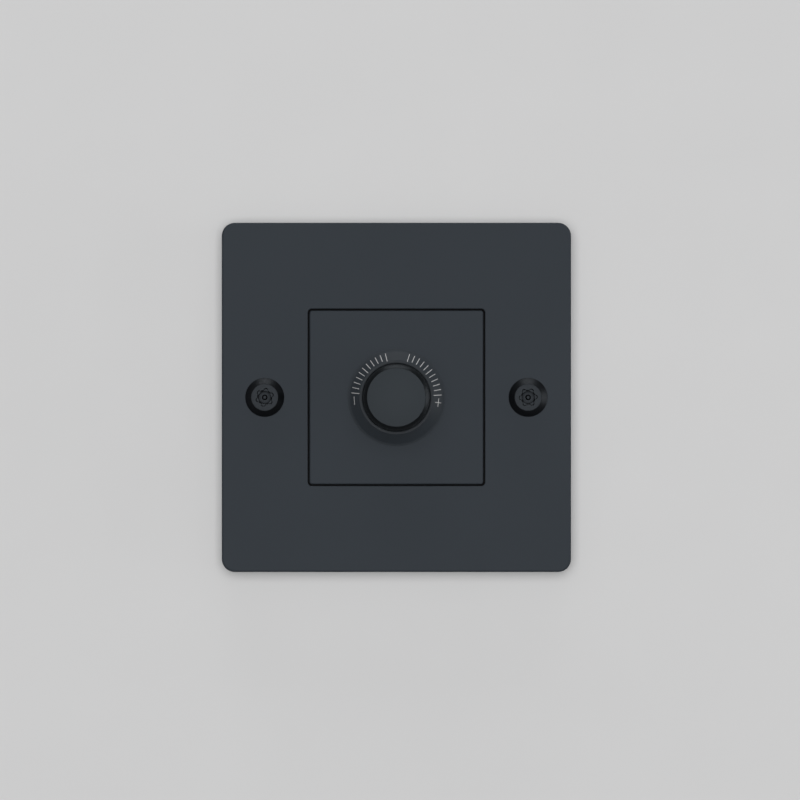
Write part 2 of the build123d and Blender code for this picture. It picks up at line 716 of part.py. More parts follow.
def bridge_contact():
    """Contact strip under the plunger's flange that bridges the two fixed contacts."""
    strip = SlotOverall(2 * (PAD_OUTER_X - BRIDGE_END), BRIDGE_WIDTH)
    outline = strip + Circle(SPRING_R + WIRE_THICKNESS / 2) - Circle(GUIDE_R + SEAT_FIT)
    return prism(outline, BRIDGE_BACK, PLUNGER_BACK)


def fixed_contacts():
    """Two angled contacts: a pad under each end of the bridge, a leg down through the board."""
    pad_back = PAD_FRONT - PAD_THICKNESS
    contact = block(PAD_LENGTH, PAD_WIDTH, (PAD_INNER_X + PAD_OUTER_X) / 2, 0, pad_back, PAD_FRONT)
    contact += block(LEG_THICKNESS, LEG_WIDTH, LEG_X, 0, STUB_BACK, pad_back)
    return group([contact, Rot(Z=180) * contact])


def return_spring():
    """Coil spring between the switch base and the contact bridge, its wire drawn six-sided."""
    rise = SPRING_LENGTH - WIRE_THICKNESS - 2 * SPRING_END
    start = BASE_FRONT + SPRING_END + WIRE_THICKNESS / 2
    coil = Helix(rise / SPRING_TURNS, rise, SPRING_R, center=(0, 0, start))
    section = Plane(coil @ 0, z_dir=coil % 0) * RegularPolygon(WIRE_THICKNESS / 2, WIRE_SIDES)
    return sweep(section, path=coil, is_frenet=True)


def circuit_board():
    """Square board, notched round the housing's pillars and pierced for every leg."""
    outline = Rectangle(BOARD_SIDE, BOARD_SIDE)
    notch = Rectangle(2 * BOARD_NOTCH, 2 * BOARD_NOTCH)
    outline -= [Pos(x, y) * notch for x, y in corners(CAVITY_HALF)]
    tag = Rectangle(TAG_WIDTH + HOLE_FIT, TAG_THICKNESS + HOLE_FIT)
    outline -= [Pos(x, TAG_Y) * tag for x in tag_places()]
    leg = Rectangle(LEG_THICKNESS + HOLE_FIT, LEG_WIDTH + HOLE_FIT)
    outline -= [Pos(x, 0) * leg for x in (-LEG_X, LEG_X)]
    pin = Circle(TERMINAL_PIN_R + HOLE_FIT)
    outline -= [Pos(x, TERMINAL_Y) * pin for x in terminal_pin_places()]
    tab = Rectangle(SINK_THICKNESS + HOLE_FIT, SINK_TAB + HOLE_FIT)
    outline -= [Pos(SINK_X + SINK_THICKNESS / 2, y) * tab for y in sink_tab_places()]
    lead = Rectangle(LEAD_THICKNESS + HOLE_FIT, LEAD_WIDTH + HOLE_FIT)
    outline -= [Pos(lead_x(), y) * lead for y in lead_places()]
    return prism(outline, BOARD_BACK, BOARD_FRONT)


def sink_tab_places():
    """The y places of the two heat sink tabs in the board."""
    return [-TRANSISTOR_Y / 2 + SINK_TAB / 2, TRANSISTOR_Y / 2 - SINK_TAB / 2]


def lead_x():
    """The line of the transistor leads, at the middle of their bodies."""
    return SINK_X - TRANSISTOR_THICKNESS / 2


def lead_places():
    """The y places of the six transistor leads."""
    return [side * TRANSISTOR_Y + n * LEAD_PITCH for side in (-1, 1) for n in (-1, 0, 1)]


def suppression_capacitor():
    """Boxed film capacitor on the upper side of the board."""
    box = block(FILM_WIDTH, FILM_DEPTH, 0, FILM_Y, BOARD_FRONT, BOARD_FRONT + FILM_HEIGHT)
    return fillet(front_face(box).edges(), FILM_EDGE)


def reservoir_capacitor():
    """Round can capacitor with the rolled groove near its foot."""
    groove = BOARD_FRONT + 4 * CAN_CAP_GROOVE
    body = turned([
        (0, BOARD_FRONT),
        (CAN_CAP_R, BOARD_FRONT),
        (CAN_CAP_R, groove),
        (CAN_CAP_R - CAN_CAP_GROOVE, groove + CAN_CAP_GROOVE),
        (CAN_CAP_R, groove + 2 * CAN_CAP_GROOVE),
        (CAN_CAP_R, BOARD_FRONT + CAN_CAP_HEIGHT),
        (0, BOARD_FRONT + CAN_CAP_HEIGHT),
    ])
    return Pos(-CAN_CAP_X, LOW_PARTS_Y) * body


def fuse():
    """Tube fuse lying over the board on its two bent leads."""
    cap_r = FUSE_R + FUSE_CAP_WALL
    half = FUSE_LENGTH / 2
    body = turned([
        (0, -half),
        (cap_r, -half),
        (cap_r, FUSE_CAP - half),
        (FUSE_R, FUSE_CAP - half),
        (FUSE_R, half - FUSE_CAP),
        (cap_r, half - FUSE_CAP),
        (cap_r, half),
        (0, half),
    ])
    height = BOARD_FRONT + cap_r + CHIP_STANDOFF
    tube = Pos(FUSE_X, LOW_PARTS_Y, height) * Rot(Y=90) * body
    lead_out = half - FUSE_CAP / 2
    for x in (FUSE_X - lead_out, FUSE_X + lead_out):
        tube += prism(Pos(x, LOW_PARTS_Y) * Circle(FUSE_LEAD_R), BOARD_FRONT, height)
    return tube


def on_choke(piece):
    """Stands a ring turned about X on the board, at the choke's place."""
    foot = BOARD_FRONT + CORE_R + WINDING + WINDING_FIT
    return Pos(CHOKE_X, 0, foot) * piece


def choke_section(growth):
    """The core's chamfered section beside the X axis, grown all round."""
    width = CORE_THICKNESS + 2 * growth
    height = CORE_R - CORE_HOLE_R + 2 * growth
    section = Rectangle(width, height)
    return Pos(0, (CORE_R + CORE_HOLE_R) / 2) * chamfer(section.vertices(), CORE_CHAMFER)


def choke_core():
    """Ferrite ring of the interference choke."""
    return on_choke(revolve(choke_section(0), Axis.X))


def choke_winding():
    """The choke's closely wound copper, as one hollow turn of wire thickness round the core."""
    sleeve = choke_section(WINDING) - choke_section(WINDING_FIT)
    wound = revolve(sleeve, Axis.X, WINDING_ANGLE)
    return on_choke(Rot(X=90 - WINDING_ANGLE / 2 + 90) * wound)


def heat_sink():
    """Aluminium plate along the right wall, standing on the board by two tabs."""
    top = YOKE_BACK - SINK_HEADROOM
    middle = SINK_X + SINK_THICKNESS / 2
    plate = block(SINK_THICKNESS, 2 * SINK_HALF, middle, 0, BOARD_FRONT, top)
    for y in sink_tab_places():
        plate += block(SINK_THICKNESS, SINK_TAB, middle, y, BOARD_BACK, BOARD_FRONT)
    for y in (-TRANSISTOR_Y, TRANSISTOR_Y):
        plate -= across(y, SINK_X, SINK_X + SINK_THICKNESS, M3_R + SEAT_FIT)
    return plate


def across(y, start, end, radius):
    """A round bar along X at the height of the transistor screws."""
    return Pos(start, y, SINK_HOLE_Z) * Rot(Y=90) * prism(Circle(radius), 0, end - start)


def power_transistors():
    """Two flat transistors clamped to the heat sink, each on three leads."""
    bodies = []
    middle = SINK_X - TRANSISTOR_THICKNESS / 2
    front = TRANSISTOR_BACK + TRANSISTOR_HEIGHT
    for y in (-TRANSISTOR_Y, TRANSISTOR_Y):
        body = block(TRANSISTOR_THICKNESS, TRANSISTOR_WIDTH, middle, y, TRANSISTOR_BACK, front)
        body -= across(y, SINK_X - TRANSISTOR_THICKNESS, SINK_X, M3_R + M3_FIT)
        for n in (-1, 0, 1):
            lead_y = y + n * LEAD_PITCH
            body += block(LEAD_THICKNESS, LEAD_WIDTH, lead_x(), lead_y, STUB_BACK, TRANSISTOR_BACK)
        bodies.append(body)
    return group(bodies)


def transistor_screws():
    """Two round-headed screws through the transistors into the heat sink."""
    screws = []
    seat = SINK_X - TRANSISTOR_THICKNESS
    for y in (-TRANSISTOR_Y, TRANSISTOR_Y):
        screw = across(y, seat, SINK_X + SINK_THICKNESS, M3_R)
        screw += across(y, seat - M3_HEAD, seat, M3_HEAD_R)
        slot = block(SLOT_DEPTH, SLOT_WIDTH, seat - M3_HEAD + SLOT_DEPTH / 2, y,
                     SINK_HOLE_Z - M3_HEAD_R, SINK_HOLE_Z + M3_HEAD_R)
        screws.append(screw - slot)
    return group(screws)


def control_chip():
    """Small surface-mounted chip on the back of the board, with four legs a side."""
    front = BOARD_BACK - CHIP_STANDOFF
    chip = block(CHIP_LENGTH, CHIP_WIDTH, 0, CHIP_Y, front - CHIP_HEIGHT, front)
    reach = CHIP_WIDTH + 2 * CHIP_LEAD_REACH
    for n in (-1.5, -0.5, 0.5, 1.5):
        chip += block(CHIP_LEAD, reach, n * CHIP_PITCH, CHIP_Y, front - CHIP_LEAD, BOARD_BACK)
    return chip


def rear_housing():
    """Moulded cup behind the yoke: corner pillars, wire entries, screw access and vents."""
    shell = prism(RectangleRounded(HOUSING_SIDE, HOUSING_SIDE, HOUSING_CORNER), HOUSING_BACK,
                  YOKE_BACK)
    shell = fillet(shell.faces().sort_by(Axis.Z)[0].edges(), HOUSING_EDGE)
    shell -= block(2 * CAVITY_HALF, 2 * CAVITY_HALF, 0, 0, TERMINAL_BACK, YOKE_BACK)
    pillar = Rectangle(PILLAR_SIDE, PILLAR_SIDE)
    for x, y in corners(PILLAR_XY):
        shell += prism(Pos(x, y) * pillar, TERMINAL_BACK, YOKE_BACK)
        pilot = Pos(x, y) * Circle(TAPPER_R + TAPPER_FIT)
        shell -= prism(pilot, YOKE_FRONT - TAPPER_LENGTH - TAPPER_POINT, YOKE_BACK)
    for x in (-POST_X, POST_X):
        post = Pos(x, CAVITY_HALF - POST_INSET) * Circle(POST_R)
        shell += prism(post, TERMINAL_BACK, BOARD_BACK)
    for x in terminal_places():
        entry = Pos(x, -HOUSING_SIDE / 2, WIRE_Z) * Rot(X=-90)
        shell -= entry * prism(Circle(WIRE_R + WIRE_ENTRY_GAP), 0, HOUSING_WALL)
        shell -= prism(Pos(x, CLAMP_Y) * Circle(CLAMP_ACCESS_R), HOUSING_BACK, TERMINAL_BACK)
    vents = GridLocations(VENT_PITCH, 0, VENT_COUNT, 1) * SlotOverall(
        VENT_LENGTH, VENT_WIDTH, rotation=90)
    return shell - prism(Pos(0, VENT_Y) * (Sketch() + vents), HOUSING_BACK, TERMINAL_BACK)


def housing_screws():
    """Four countersunk cross-head screws through the yoke into the housing's pillars."""
    tip = YOKE_FRONT - TAPPER_LENGTH
    screw = turned([
        (0, tip),
        (TAPPER_R - TAPPER_POINT / 2, tip),
        (TAPPER_R, tip + TAPPER_POINT),
        (TAPPER_R, YOKE_FRONT - TAPPER_HEAD),
        (TAPPER_HEAD_R, YOKE_FRONT),
        (0, YOKE_FRONT),
    ])
    for turn in (45, 135):
        slot = slot_cut(CROSS_WIDTH, CROSS_DEPTH, TAPPER_HEAD_R, YOKE_FRONT - CROSS_DEPTH)
        screw -= Rot(Z=turn) * slot
    return group([Pos(x, y) * screw for x, y in corners(PILLAR_XY)])


def terminal_pin_places():
    """The x places of the solder pins, two on each terminal."""
    return [x + side * TERMINAL_PIN_X for x in terminal_places() for side in (-1, 1)]


def terminal_blocks():
    """Three brass tunnel terminals: wire bore from below, clamp thread from behind."""
    blocks = []
    for x in terminal_places():
        brass = block(TERMINAL_WIDTH, TERMINAL_LENGTH, x, TERMINAL_Y, TERMINAL_BACK, BOARD_BACK)
        brass = chamfer(brass.edges().filter_by(Axis.Z), TERMINAL_EDGE)
        bore = Pos(x, TERMINAL_MOUTH_Y, WIRE_Z) * Rot(X=-90)
        brass -= bore * prism(Circle(WIRE_R), 0, WIRE_DEPTH)
        brass -= prism(Pos(x, CLAMP_Y) * Circle(CLAMP_SCREW_R + CLAMP_SCREW_FIT),
                       TERMINAL_BACK, WIRE_Z)
        for side in (-TERMINAL_PIN_X, TERMINAL_PIN_X):
            pin = Pos(x + side, TERMINAL_Y) * Circle(TERMINAL_PIN_R)
            brass += prism(pin, BOARD_BACK, BOARD_FRONT - HOLE_FIT)
        blocks.append(brass)
    return group(blocks)


def terminal_screws():
    """Three headless clamp screws, backed out clear of the wire bores."""
    back = HOUSING_BACK + CLAMP_SCREW_SINK
    front = WIRE_Z - WIRE_R - CLAMP_SCREW_FIT
    screw = prism(Circle(CLAMP_SCREW_R), back, front)
    screw -= slot_cut(SLOT_WIDTH, SLOT_DEPTH, 2 * CLAMP_SCREW_R, back)
    return group([Pos(x, CLAMP_Y) * screw for x in terminal_places()])


def earth_clamp():
    """Square clamp washer of the earth terminal, on the back of the yoke."""
    plate = block(EARTH_SIDE, EARTH_SIDE, 0, EARTH_Y, YOKE_BACK - EARTH_THICKNESS, YOKE_BACK)
    hole = Pos(0, EARTH_Y) * Circle(EARTH_R + EARTH_FIT)
    return plate - prism(hole, YOKE_BACK - EARTH_THICKNESS, YOKE_BACK)


def earth_screw():
    """Slotted earth screw through the clamp into the yoke."""
    seat = YOKE_BACK - EARTH_THICKNESS
    back = seat - EARTH_HEAD
    screw = prism(Circle(EARTH_HEAD_R), back, seat)
    screw += prism(Circle(EARTH_R), seat, YOKE_FRONT - EARTH_FIT)
    screw -= slot_cut(SLOT_WIDTH, SLOT_DEPTH, 2 * EARTH_HEAD_R, back)
    return Pos(0, EARTH_Y) * screw


PIECES = [
    face_plate,
    centre_insert,
    scale_collar,
    fixing_screws,
    support_yoke,
    control_knob,
    knob_clip,
    control_shaft,
    lock_washer,
    bush_nut,
    pot_bush,
    pot_can,
    rotor,
    wiper,
    track_wafer,
    wafer_terminals,
    switch_cover,
    switch_base,
    switch_plunger,
    bridge_contact,
    fixed_contacts,
    return_spring,
    circuit_board,
    suppression_capacitor,
    reservoir_capacitor,
    fuse,
    choke_core,
    choke_winding,
    heat_sink,
    power_transistors,
    transistor_screws,
    control_chip,
    rear_housing,
    housing_screws,
    terminal_blocks,
    terminal_screws,
    earth_clamp,
    earth_screw,
]

os.makedirs("parts", exist_ok=True)
for piece in PIECES:
    export_step(UPRIGHT * piece(), f"parts/{piece.__name__}.step")
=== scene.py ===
import json
import math

import bpy
import numpy as np
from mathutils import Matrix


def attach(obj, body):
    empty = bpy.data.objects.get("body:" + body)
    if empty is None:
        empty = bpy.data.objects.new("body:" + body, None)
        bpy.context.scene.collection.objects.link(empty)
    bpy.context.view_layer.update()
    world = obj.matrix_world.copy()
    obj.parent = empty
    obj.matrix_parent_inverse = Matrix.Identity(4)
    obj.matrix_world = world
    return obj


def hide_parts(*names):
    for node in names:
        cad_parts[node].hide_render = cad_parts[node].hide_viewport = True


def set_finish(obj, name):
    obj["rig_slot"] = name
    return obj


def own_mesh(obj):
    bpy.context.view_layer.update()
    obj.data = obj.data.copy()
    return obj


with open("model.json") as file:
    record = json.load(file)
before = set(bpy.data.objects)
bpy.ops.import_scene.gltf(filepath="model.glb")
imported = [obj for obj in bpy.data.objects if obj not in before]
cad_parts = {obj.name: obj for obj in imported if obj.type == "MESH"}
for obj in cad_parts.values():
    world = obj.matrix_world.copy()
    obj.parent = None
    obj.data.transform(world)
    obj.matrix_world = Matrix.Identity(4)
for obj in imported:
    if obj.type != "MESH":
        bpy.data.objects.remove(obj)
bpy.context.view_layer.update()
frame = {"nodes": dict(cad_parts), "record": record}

# Driving sizes of the new pieces, in millimetres on the bench: x to the right, y up the wall and z out
# of the wall, from the wall's surface on. The two screws came to rest at different turns, in degrees.
MM = 0.001
FACE = 4.0
FIXING_X = 30.15
SCREW_TURNS = (20.0, 3.0)
KNURL_TEETH = 80
LIP_R, LIP_Z = 8.46, 6.2
CONE_R, CONE_Z = 10.65, 4.2


# Mesh tools


def stand(points):
    """Bench millimetres to the wall's metres: bench (x, y, z) goes to (x, -z, y)."""
    x, y, z = np.moveaxis(np.asarray(points, float), -1, 0)
    return np.stack([x, -z, y], -1) * MM


def grid_faces(rows, cols):
    """Four-cornered faces between neighbouring rows of a grid, whose last column joins the first."""
    row = np.arange(rows - 1)[:, None]
    col = np.arange(cols)[None, :]
    a = row * cols + col
    b = row * cols + (col + 1) % cols
    return np.stack([a, b, b + cols, a + cols], -1).reshape(-1, 4)


def capped_skin(points):
    """A closed skin over a grid whose columns wrap round: each end row closes on its own middle. A skin
    is its points and a list of blocks of faces, each block an array."""
    rows, cols = points.shape[:2]
    ends = np.stack([points[0].mean(0), points[-1].mean(0)])
    flat = np.concatenate([points.reshape(-1, 3), ends])
    col = np.arange(cols)
    after = (col + 1) % cols
    first = np.stack([np.full(cols, rows * cols), after, col], -1)
    last_row = (rows - 1) * cols
    last = np.stack([np.full(cols, rows * cols + 1), last_row + col, last_row + after], -1)
    return flat, [grid_faces(rows, cols), first, last]


def joined(skins):
    """Several skins as one: the faces of each are numbered on from the points of those before it."""
    points, blocks, start = [], [], 0
    for more_points, more_blocks in skins:
        points.append(more_points)
        blocks += [block + start for block in more_blocks]
        start += len(more_points)
    return np.concatenate(points), blocks


def make_piece(name, skin, body, slot, sharp, stands_for=()):
    """A mesh piece from a skin on the bench, riding on a body, smooth up to the sharp angle in degrees;
    it may stand for some of the frame's nodes."""
    points, blocks = skin
    faces = [face for block in blocks for face in block.tolist()]
    mesh = bpy.data.meshes.new(name)
    mesh.from_pydata(stand(points).tolist(), [], faces)
    mesh.shade_smooth()
    mesh.set_sharp_from_angle(angle=math.radians(sharp))
    piece = bpy.data.objects.new(name, mesh)
    bpy.context.scene.collection.objects.link(piece)
    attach(piece, body)
    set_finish(piece, slot)
    if stands_for:
        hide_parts(*stands_for)
    return piece


def eased(corners, reach, steps):
    """A turning profile with each inner corner drawn round: the quadratic curve that leaves the side
    before it at the reach, aims at the corner and joins the side after it at the reach. On a short side
    the reach is cut to just under half of it."""
    short_share = 0.45
    corner = np.asarray(corners, float)
    before, here, after = corner[:-2], corner[1:-1], corner[2:]
    back = before - here
    ahead = after - here
    back_length = np.linalg.norm(back, axis=1, keepdims=True)
    ahead_length = np.linalg.norm(ahead, axis=1, keepdims=True)
    start = here + back / back_length * np.minimum(reach, short_share * back_length)
    end = here + ahead / ahead_length * np.minimum(reach, short_share * ahead_length)
    t = np.linspace(0, 1, steps)[None, :, None]
    curve = (1 - t) ** 2 * start[:, None] + 2 * t * (1 - t) * here[:, None] + t ** 2 * end[:, None]
    return np.concatenate([corner[:1], curve.reshape(-1, 2), corner[-1:]])


def turned_grid(radius, height, turn):
    """Rings about the spindle: radius and height, each by ring and direction, to (x, y, z)."""
    radius, height, turn = np.broadcast_arrays(radius, height, turn[None, :])
    return np.stack([radius * np.cos(turn), radius * np.sin(turn), height], -1)


def directions(count):
    """Evenly spread directions round the spindle."""
    return np.arange(count) * 2 * np.pi / count


def toward(angle):
    """The step of length one in a direction round the spindle."""
    return np.array([math.cos(angle), math.sin(angle)])


def tube(path, outward, radius, sides):
    """A round wire along a path: a circle in the plane across the path's tangent, its first axis
    the outward direction made square to that tangent and its second the two's cross product."""
    tangent = np.gradient(path, axis=0)
    tangent /= np.linalg.norm(tangent, axis=1, keepdims=True)
    normal = outward - (outward * tangent).sum(1, keepdims=True) * tangent
    normal /= np.linalg.norm(normal, axis=1, keepdims=True)
    across = np.cross(tangent, normal)
    angle = directions(sides)[None, :, None]
    ring = np.cos(angle) * normal[:, None] + np.sin(angle) * across[:, None]
    return capped_skin(path[:, None] + radius * ring)


def triangle_wave(phase):
    """1 at whole numbers, 0 half way between them, straight in between."""
    return np.abs(2 * (phase - np.floor(phase)) - 1)


def stacked(bands, width):
    """Bands of rings, each a list of radii and one of heights, as two arrays by ring and direction."""
    radius = [np.broadcast_to(r, (len(r), width)) for r, _ in bands]
    height = [np.broadcast_to(z, (len(z), width)) for _, z in bands]
    return np.concatenate(radius), np.concatenate(height)


def ring_band(profile):
    """A band from a turning profile's (radius, height) points."""
    return profile[:, :1], profile[:, 1:]


# Shapes of the new pieces


def six_lobes(turn, centre_r, lobe_r, well_r):
    """The recess's radius by direction: the far side of the nearest of six circles set round the axis,
    or the well's own radius where that is larger."""
    sixth = np.pi / 3
    offset = (turn + sixth / 2) % sixth - sixth / 2
    inside = np.maximum(lobe_r ** 2 - (centre_r * np.sin(offset)) ** 2, 0)
    lobes = np.where(inside > 0, centre_r * np.cos(offset) + np.sqrt(inside), well_r)
    return np.maximum(lobes, well_r)[None]


def recess_bands(turn, top):
    """The screw's recess as bands of rings: the pin in its round well, then the floor and the sloped wall
    of the shallow lobes, whose edge at the top is broken."""
    pin_r, pin_foot_r, well_foot_r, well_r = 0.36, 0.62, 1.4, 1.5
    pin_z, pin_foot_z, well_foot_z, lobe_z = top - 0.2, top - 1.1, top - 1.0, top - 0.3
    middle_r, ledge = 0.02, 0.01
    well = eased([(middle_r, pin_z), (pin_r, pin_z), (pin_foot_r, pin_foot_z), (well_foot_r, well_foot_z),
                  (well_r - 2 * ledge, lobe_z), (well_r - ledge, lobe_z)], reach=0.05, steps=4)
    outline = six_lobes(turn, centre_r=1.5, lobe_r=0.45, well_r=well_r)
    slope, edge = 0.18, 0.04
    return [ring_band(well), (outline, [[lobe_z]]), (outline + slope, [[top - edge]]),
            (outline + slope + edge, [[top]])]


def thread_bands(turn):
    """The threaded shank as bands of rings: its radius is a triangle wave of the height less the
    direction's share of one pitch, it fades over a pitch towards either end, and a point follows."""
    pitch, depth, crest_r, rows_per_pitch = 0.6, 0.36, 1.75, 8
    length, point, point_r = 21.0, 0.8, 0.95
    root_r = crest_r - depth
    height = -np.arange(0, length - point, pitch / rows_per_pitch)
    wave = triangle_wave(height[:, None] / pitch - turn[None, :] / (2 * np.pi))
    fade = np.clip(np.minimum(-height / pitch, (height + length) / pitch - 1), 0, 1)[:, None]
    return [(root_r + depth * fade * wave, height[:, None]), ([[root_r]], [[point - length]]),
            ([[point_r]], [[-length]])]


def screw_skin(turn_degrees):
    """A fixing screw as rings about its axis, from its point up to the pin: the threaded shank, the neck,
    the cone and the flat top of its head, and the recess."""
    turn = directions(144)
    top, rim = FACE + 1.5, FACE + 0.2
    recess_r, top_r, head_r, neck_r = 2.3, 3.1, 4.45, 2.0
    head = eased([(recess_r, top), (top_r, top), (head_r, rim), (head_r, FACE), (neck_r, FACE),
                  (neck_r, 0)], reach=0.1, steps=4)
    bands = [*recess_bands(turn, top), ring_band(head), *thread_bands(turn)]
    radius, level = stacked(bands, len(turn))
    return capped_skin(turned_grid(radius[::-1], level[::-1], turn + math.radians(turn_degrees)))


def moved(skin, x):
    """A skin shifted along x."""
    points, blocks = skin
    return points + [x, 0, 0], blocks


def knob_skin():
    """The knob as rings about the spindle: flatted bore, nut cavity, plain skirt, a straight knurl
    whose radius is a rounded triangle wave of the direction, a bevel that cuts the knurl off by the
    smaller of the two radii, and the flat face."""
    turn = directions(KNURL_TEETH * 6)
    knob_r, root_r, face_r, cavity_r, middle_r = 7.6, 7.27, 6.68, 6.12, 0.05
    back_z, skirt_z, cavity_z, bore_z, face_z = 5.4, 7.0, 7.5, 13.2, 15.0
    flat, bore_r = 1.98, 3.03
    bore = np.minimum(bore_r, flat / np.maximum(np.sin(turn), 1e-6))[None]
    skirt = eased([(cavity_r, cavity_z), (cavity_r, back_z), (knob_r, back_z), (knob_r, skirt_z),
                   (root_r, skirt_z)], reach=0.12, steps=4)[:-1]
    straight, run_in = 0.6, 0.22
    wave = triangle_wave(turn * KNURL_TEETH / (2 * np.pi))
    wave = straight * wave + (1 - straight) * (0.5 - 0.5 * np.cos(np.pi * wave))
    crest = root_r + (knob_r - root_r) * wave[None]
    flank_z = np.array([skirt_z, skirt_z + run_in / 2, skirt_z + run_in, 9.0, 11.0, 13.0, 13.75])
    rise = np.clip((flank_z - skirt_z) / run_in, 0, 1)[:, None]
    flank = root_r + (crest - root_r) * rise
    bevel_height, knurl_end = 0.84, 0.35
    bevel_z = face_z - bevel_height
    bevel_slope = (knob_r - face_r) / bevel_height
    step = np.linspace(-0.1, 0.3, 9)[:, None]
    bevel = np.minimum(crest, knob_r - bevel_slope * np.maximum(step, 0))
    face = eased([(knob_r - bevel_slope * knurl_end, bevel_z + knurl_end), (face_r, face_z),
                  (middle_r, face_z)], reach=0.06, steps=5)
    bands = [([[middle_r]], [[bore_z]]), (bore, [[bore_z]]), (bore, [[cavity_z]]), ring_band(skirt),
             (flank, flank_z[:, None]), (bevel, bevel_z + step), ring_band(face)]
    radius, level = stacked(bands, len(turn))
    return capped_skin(turned_grid(radius, level, turn))


def collar_skin():
    """The dial ring as a ring-shaped grid: its eased section, closed on itself, turned right round; the
    cone runs out in a hollow curve to a shallow foot on the insert."""
    foot_r, foot_z, spigot_r, bore_r, hole_r = 11.15, FACE + 0.05, 8.75, 7.86, 3.6
    floor_z, back_z = 2.8, 1.8
    seam = (spigot_r, 2.9)
    run_out = eased([(foot_r, foot_z), (CONE_R, CONE_Z), (LIP_R, LIP_Z)], reach=0.3, steps=6)
    section = [(spigot_r, FACE), (foot_r, FACE), *run_out, (bore_r, LIP_Z), (bore_r, floor_z),
               (hole_r, floor_z), (hole_r, back_z), (spigot_r, back_z), seam]
    loop = np.concatenate([[seam], eased(section, reach=0.07, steps=4)[:-1]])
    turn = directions(192)
    grid = turned_grid(loop[:, :1], loop[:, 1:], turn)
    rows, cols = grid.shape[:2]
    faces = grid_faces(rows + 1, cols) % (rows * cols)
    return grid.reshape(-1, 3), [faces]


def cone_height(radius):
    """Height of the dial ring's cone, a straight slope from the lip down to the outer edge."""
    return LIP_Z - (radius - LIP_R) * (LIP_Z - CONE_Z) / (CONE_R - LIP_R)


def bar_on_cone(middle, along, length, width):
    """A printed bar: a straight strip in plan, as a grid of places along and across it, with its
    height taken from the cone under each place; its top lies a film above and its foot in the cone."""
    film = 0.025
    step = np.linspace(-0.5, 0.5, 9)[:, None, None]
    across = np.array([-0.5, 0.5, 0.5, -0.5])[None, :, None]
    lift = film * np.array([-1.0, -1.0, 1.0, 1.0])[None, :]
    axis = toward(along)
    side = np.array([-axis[1], axis[0]])
    plan = middle + step * length * axis + across * width * side
    level = cone_height(np.hypot(plan[..., 0], plan[..., 1])) + lift
    return capped_skin(np.concatenate([plan, level[..., None]], -1))


def scale_skin():
    """The printed scale: radial ticks from a minus to a plus sign, even steps either side of the
    middle, every fifth one longer; the signs stand on the ends of the scale."""
    middle, first, step = math.radians(88.65), math.radians(15.6), math.radians(7.0)
    count, long_every = 11, 5
    long_inner, short_inner, outer, tick_width = 8.5, 8.75, 10.35, 0.15
    bars = []
    for side in (1, -1):
        for n in range(count):
            angle = middle + side * (first + n * step)
            inner = long_inner if n % long_every == 0 else short_inner
            place = toward(angle) * (inner + outer) / 2
            bars.append(bar_on_cone(place, angle, outer - inner, tick_width))
    sign_r, sign_turn = 9.66, math.radians(95.85)
    sign_length, cross_length, line = 1.9, 1.38, 0.13
    minus, plus = middle + sign_turn, middle - sign_turn
    for angle in (minus, plus):
        bars.append(bar_on_cone(toward(angle) * sign_r, angle + math.pi / 2, sign_length, line))
    arm = (cross_length - line) / 2
    for side in (-1, 1):
        place = toward(plus) * (sign_r + side * (arm + line) / 2)
        bars.append(bar_on_cone(place, plus, arm, line))
    return joined(bars)


def spring_skin():
    """The return spring: a round wire along a helix, three and a half turns between its seats."""
    turns, points_per_turn = 3.5, 40
    low, high, coil_r, wire_r = -13.52, -10.58, 2.55, 0.25
    turn = np.linspace(0, turns * 2 * np.pi, round(turns * points_per_turn))
    height = low + (high - low) * turn / turn[-1]
    path = np.stack([coil_r * np.cos(turn), coil_r * np.sin(turn), height], -1)
    outward = np.stack([np.cos(turn), np.sin(turn), np.zeros_like(turn)], -1)
    return tube(path, outward, wire_r, sides=12)


def winding_skin():
    """The choke's wire: while it goes round the core's section on a rounded rectangle, a power curve
    of cosine and sine, its place moves slowly round the ring from one end of the winding to the other."""
    turns, points_per_turn, wire_r = 22, 32, 0.265
    start, sweep = 37, 286
    ring_r, centre_x, centre_z = 4.5, -16.1, -8.75
    half_width, half_height = 2.83, 1.83
    t = np.linspace(0, turns, turns * points_per_turn)
    s = 2 * np.pi * t
    cos, sin = np.cos(s), np.sin(s)
    u = half_width * np.sign(cos) * np.sqrt(np.abs(cos))
    v = half_height * np.sign(sin) * np.sqrt(np.abs(sin))
    around = np.radians(start + sweep * t / turns)
    path = np.stack([centre_x + u, (ring_r + v) * np.cos(around),
                     centre_z + (ring_r + v) * np.sin(around)], -1)
    outward = np.stack([u / half_width, v / half_height * np.cos(around),
                        v / half_height * np.sin(around)], -1)
    return tube(path, outward, wire_r, sides=8)


# Effects that the finishes share


def new_group(name, inputs, outputs):
    """An empty shader node group with named sockets."""
    tree = bpy.data.node_groups.new(name, "ShaderNodeTree")
    kinds = {"colour": "NodeSocketColor", "value": "NodeSocketFloat", "vector": "NodeSocketVector"}
    for socket, kind in inputs:
        tree.interface.new_socket(socket, in_out="INPUT", socket_type=kinds[kind])
    for socket, kind in outputs:
        tree.interface.new_socket(socket, in_out="OUTPUT", socket_type=kinds[kind])
    return tree, tree.nodes.new("NodeGroupInput"), tree.nodes.new("NodeGroupOutput")


def put(tree, kind, links=(), **settings):
    """A node with its settings, its input values (by name or place) and its links."""
    node = tree.nodes.new(kind)
    for key, value in settings.items():
        setattr(node, key, value)
    for socket, source in links:
        if isinstance(source, bpy.types.NodeSocket):
            tree.links.new(source, node.inputs[socket])
        else:
            node.inputs[socket].default_value = source
    return node


def maths(tree, operation, first, second, third=0.0):
    """One sum of a shader tree."""
    links = [(0, first), (1, second), (2, third)]
    return put(tree, "ShaderNodeMath", links, operation=operation).outputs[0]


